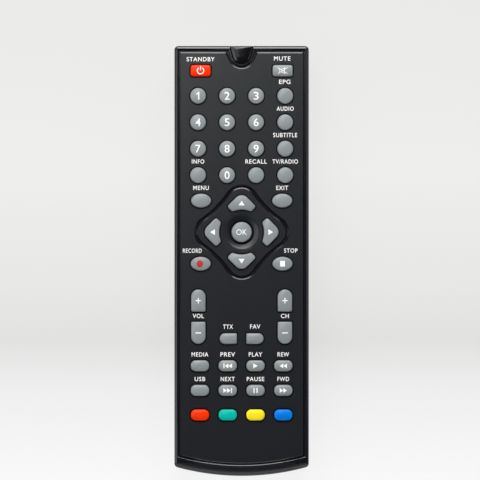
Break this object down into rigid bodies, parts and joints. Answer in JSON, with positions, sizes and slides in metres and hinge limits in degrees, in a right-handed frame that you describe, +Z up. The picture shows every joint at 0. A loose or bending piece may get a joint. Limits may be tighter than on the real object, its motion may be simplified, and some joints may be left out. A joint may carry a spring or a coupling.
{
  "type": "remote control",
  "caption": "Slim handheld infrared remote control for a set-top box: black two-part case, rubber keys, round pointing pad, dark infrared window and sliding battery door.",
  "frame": {"origin": "on the rest plane, at the middle of the case outline", "axes": "+X across the width, +Y towards the infrared end, +Z up out of the key face"},
  "size_m": [0.05, 0.16, 0.0224],
  "materials": {
    "case_plastic": "fine moulded texture, black ABS",
    "window_plastic": "polished, infrared-passing dark acrylic",
    "lamp_epoxy": "clear blue-tinted epoxy",
    "board_laminate": "paper laminate with green solder mask",
    "mat_silicone": "moulded silicone, matt",
    "chip_plastic": "moulded epoxy",
    "can_steel": "drawn steel can",
    "sleeve_plastic": "shrunk sleeve",
    "contact_nickel": "nickel-plated spring steel",
    "cell_sleeve": "plain shrunk sleeve",
    "screw_steel": "zinc plated",
    "key_silicone": "matt coated silicone, light grey",
    "key_silicone_red": "matt coated silicone, red",
    "key_silicone_green": "matt coated silicone, green",
    "key_silicone_yellow": "matt coated silicone, yellow",
    "key_silicone_blue": "matt coated silicone, blue"
  },
  "bodies": {
    "root": {"batteries": "cell_sleeve", "battery_contacts": "contact_nickel", "battery_springs": "contact_nickel", "capacitor": "sleeve_plastic", "case_screws": "screw_steel", "circuit_board": "board_laminate", "controller_chip": "chip_plastic", "front_case": "case_plastic", "infrared_lamp": "lamp_epoxy", "infrared_window": "window_plastic", "keypad_mat": "mat_silicone", "rear_case": "case_plastic", "resonator": "can_steel", "surface_mount_parts": "chip_plastic"},
    "battery_door": {"battery_door": "case_plastic"},
    "key_0": {"key_0": "key_silicone"},
    "key_1": {"key_1": "key_silicone"},
    "key_2": {"key_2": "key_silicone"},
    "key_3": {"key_3": "key_silicone"},
    "key_4": {"key_4": "key_silicone"},
    "key_5": {"key_5": "key_silicone"},
    "key_6": {"key_6": "key_silicone"},
    "key_7": {"key_7": "key_silicone"},
    "key_8": {"key_8": "key_silicone"},
    "key_9": {"key_9": "key_silicone"},
    "key_audio": {"key_audio": "key_silicone"},
    "key_blue": {"key_blue": "key_silicone_blue"},
    "key_channel_down": {"key_channel_down": "key_silicone"},
    "key_channel_up": {"key_channel_up": "key_silicone"},
    "key_down": {"key_down": "key_silicone"},
    "key_exit": {"key_exit": "key_silicone"},
    "key_favourite": {"key_favourite": "key_silicone"},
    "key_forward": {"key_forward": "key_silicone"},
    "key_green": {"key_green": "key_silicone_green"},
    "key_guide": {"key_guide": "key_silicone"},
    "key_info": {"key_info": "key_silicone"},
    "key_left": {"key_left": "key_silicone"},
    "key_media": {"key_media": "key_silicone"},
    "key_menu": {"key_menu": "key_silicone"},
    "key_mute": {"key_mute": "key_silicone"},
    "key_next": {"key_next": "key_silicone"},
    "key_ok": {"key_ok": "key_silicone"},
    "key_pause": {"key_pause": "key_silicone"},
    "key_play": {"key_play": "key_silicone"},
    "key_previous": {"key_previous": "key_silicone"},
    "key_recall": {"key_recall": "key_silicone"},
    "key_record": {"key_record": "key_silicone"},
    "key_red": {"key_red": "key_silicone_red"},
    "key_rewind": {"key_rewind": "key_silicone"},
    "key_right": {"key_right": "key_silicone"},
    "key_standby": {"key_standby": "key_silicone_red"},
    "key_stop": {"key_stop": "key_silicone"},
    "key_subtitle": {"key_subtitle": "key_silicone"},
    "key_text": {"key_text": "key_silicone"},
    "key_tv_radio": {"key_tv_radio": "key_silicone"},
    "key_up": {"key_up": "key_silicone"},
    "key_usb": {"key_usb": "key_silicone"},
    "key_volume_down": {"key_volume_down": "key_silicone"},
    "key_volume_up": {"key_volume_up": "key_silicone"},
    "key_yellow": {"key_yellow": "key_silicone_yellow"}
  },
  "joints": [
    {"name": "battery_door_slide", "type": "slide", "parent": "root", "child": "battery_door", "axis": [0, -1, 0], "range_m": [0, 0.06]},
    {"name": "key_standby_press", "type": "slide", "parent": "root", "child": "key_standby", "axis": [0, 0, -1], "range_m": [0, 0.001], "stiffness_N_per_m": 1200},
    {"name": "key_ok_press", "type": "slide", "parent": "root", "child": "key_ok", "axis": [0, 0, -1], "range_m": [0, 0.001], "stiffness_N_per_m": 1200},
    {"name": "key_up_press", "type": "slide", "parent": "root", "child": "key_up", "axis": [0, 0, -1], "range_m": [0, 0.001], "stiffness_N_per_m": 1200},
    {"name": "key_1_press", "type": "slide", "parent": "root", "child": "key_1", "axis": [0, 0, -1], "range_m": [0, 0.001], "stiffness_N_per_m": 1200},
    {"name": "key_volume_up_press", "type": "slide", "parent": "root", "child": "key_volume_up", "axis": [0, 0, -1], "range_m": [0, 0.001], "stiffness_N_per_m": 1200},
    {"name": "key_play_press", "type": "slide", "parent": "root", "child": "key_play", "axis": [0, 0, -1], "range_m": [0, 0.001], "stiffness_N_per_m": 1200},
    {"name": "key_red_press", "type": "slide", "parent": "root", "child": "key_red", "axis": [0, 0, -1], "range_m": [0, 0.001], "stiffness_N_per_m": 1200},
    {"name": "key_favourite_press", "type": "slide", "parent": "root", "child": "key_favourite", "axis": [0, 0, -1], "range_m": [0, 0.001], "stiffness_N_per_m": 1200},
    {"name": "key_0_press", "type": "slide", "parent": "root", "child": "key_0", "axis": [0, 0, -1], "range_m": [0, 0.001], "stiffness_N_per_m": 1200},
    {"name": "key_2_press", "type": "slide", "parent": "root", "child": "key_2", "axis": [0, 0, -1], "range_m": [0, 0.001], "stiffness_N_per_m": 1200},
    {"name": "key_3_press", "type": "slide", "parent": "root", "child": "key_3", "axis": [0, 0, -1], "range_m": [0, 0.001], "stiffness_N_per_m": 1200},
    {"name": "key_4_press", "type": "slide", "parent": "root", "child": "key_4", "axis": [0, 0, -1], "range_m": [0, 0.001], "stiffness_N_per_m": 1200},
    {"name": "key_5_press", "type": "slide", "parent": "root", "child": "key_5", "axis": [0, 0, -1], "range_m": [0, 0.001], "stiffness_N_per_m": 1200},
    {"name": "key_6_press", "type": "slide", "parent": "root", "child": "key_6", "axis": [0, 0, -1], "range_m": [0, 0.001], "stiffness_N_per_m": 1200},
    {"name": "key_7_press", "type": "slide", "parent": "root", "child": "key_7", "axis": [0, 0, -1], "range_m": [0, 0.001], "stiffness_N_per_m": 1200},
    {"name": "key_8_press", "type": "slide", "parent": "root", "child": "key_8", "axis": [0, 0, -1], "range_m": [0, 0.001], "stiffness_N_per_m": 1200},
    {"name": "key_9_press", "type": "slide", "parent": "root", "child": "key_9", "axis": [0, 0, -1], "range_m": [0, 0.001], "stiffness_N_per_m": 1200},
    {"name": "key_audio_press", "type": "slide", "parent": "root", "child": "key_audio", "axis": [0, 0, -1], "range_m": [0, 0.001], "stiffness_N_per_m": 1200},
    {"name": "key_blue_press", "type": "slide", "parent": "root", "child": "key_blue", "axis": [0, 0, -1], "range_m": [0, 0.001], "stiffness_N_per_m": 1200},
    {"name": "key_channel_down_press", "type": "slide", "parent": "root", "child": "key_channel_down", "axis": [0, 0, -1], "range_m": [0, 0.001], "stiffness_N_per_m": 1200},
    {"name": "key_channel_up_press", "type": "slide", "parent": "root", "child": "key_channel_up", "axis": [0, 0, -1], "range_m": [0, 0.001], "stiffness_N_per_m": 1200},
    {"name": "key_down_press", "type": "slide", "parent": "root", "child": "key_down", "axis": [0, 0, -1], "range_m": [0, 0.001], "stiffness_N_per_m": 1200},
    {"name": "key_exit_press", "type": "slide", "parent": "root", "child": "key_exit", "axis": [0, 0, -1], "range_m": [0, 0.001], "stiffness_N_per_m": 1200},
    {"name": "key_forward_press", "type": "slide", "parent": "root", "child": "key_forward", "axis": [0, 0, -1], "range_m": [0, 0.001], "stiffness_N_per_m": 1200},
    {"name": "key_green_press", "type": "slide", "parent": "root", "child": "key_green", "axis": [0, 0, -1], "range_m": [0, 0.001], "stiffness_N_per_m": 1200},
    {"name": "key_guide_press", "type": "slide", "parent": "root", "child": "key_guide", "axis": [0, 0, -1], "range_m": [0, 0.001], "stiffness_N_per_m": 1200},
    {"name": "key_info_press", "type": "slide", "parent": "root", "child": "key_info", "axis": [0, 0, -1], "range_m": [0, 0.001], "stiffness_N_per_m": 1200},
    {"name": "key_left_press", "type": "slide", "parent": "root", "child": "key_left", "axis": [0, 0, -1], "range_m": [0, 0.001], "stiffness_N_per_m": 1200},
    {"name": "key_media_press", "type": "slide", "parent": "root", "child": "key_media", "axis": [0, 0, -1], "range_m": [0, 0.001], "stiffness_N_per_m": 1200},
    {"name": "key_menu_press", "type": "slide", "parent": "root", "child": "key_menu", "axis": [0, 0, -1], "range_m": [0, 0.001], "stiffness_N_per_m": 1200},
    {"name": "key_mute_press", "type": "slide", "parent": "root", "child": "key_mute", "axis": [0, 0, -1], "range_m": [0, 0.001], "stiffness_N_per_m": 1200},
    {"name": "key_next_press", "type": "slide", "parent": "root", "child": "key_next", "axis": [0, 0, -1], "range_m": [0, 0.001], "stiffness_N_per_m": 1200},
    {"name": "key_pause_press", "type": "slide", "parent": "root", "child": "key_pause", "axis": [0, 0, -1], "range_m": [0, 0.001], "stiffness_N_per_m": 1200},
    {"name": "key_previous_press", "type": "slide", "parent": "root", "child": "key_previous", "axis": [0, 0, -1], "range_m": [0, 0.001], "stiffness_N_per_m": 1200},
    {"name": "key_recall_press", "type": "slide", "parent": "root", "child": "key_recall", "axis": [0, 0, -1], "range_m": [0, 0.001], "stiffness_N_per_m": 1200},
    {"name": "key_record_press", "type": "slide", "parent": "root", "child": "key_record", "axis": [0, 0, -1], "range_m": [0, 0.001], "stiffness_N_per_m": 1200},
    {"name": "key_rewind_press", "type": "slide", "parent": "root", "child": "key_rewind", "axis": [0, 0, -1], "range_m": [0, 0.001], "stiffness_N_per_m": 1200},
    {"name": "key_right_press", "type": "slide", "parent": "root", "child": "key_right", "axis": [0, 0, -1], "range_m": [0, 0.001], "stiffness_N_per_m": 1200},
    {"name": "key_stop_press", "type": "slide", "parent": "root", "child": "key_stop", "axis": [0, 0, -1], "range_m": [0, 0.001], "stiffness_N_per_m": 1200},
    {"name": "key_subtitle_press", "type": "slide", "parent": "root", "child": "key_subtitle", "axis": [0, 0, -1], "range_m": [0, 0.001], "stiffness_N_per_m": 1200},
    {"name": "key_text_press", "type": "slide", "parent": "root", "child": "key_text", "axis": [0, 0, -1], "range_m": [0, 0.001], "stiffness_N_per_m": 1200},
    {"name": "key_tv_radio_press", "type": "slide", "parent": "root", "child": "key_tv_radio", "axis": [0, 0, -1], "range_m": [0, 0.001], "stiffness_N_per_m": 1200},
    {"name": "key_usb_press", "type": "slide", "parent": "root", "child": "key_usb", "axis": [0, 0, -1], "range_m": [0, 0.001], "stiffness_N_per_m": 1200},
    {"name": "key_volume_down_press", "type": "slide", "parent": "root", "child": "key_volume_down", "axis": [0, 0, -1], "range_m": [0, 0.001], "stiffness_N_per_m": 1200},
    {"name": "key_yellow_press", "type": "slide", "parent": "root", "child": "key_yellow", "axis": [0, 0, -1], "range_m": [0, 0.001], "stiffness_N_per_m": 1200}
  ]
}
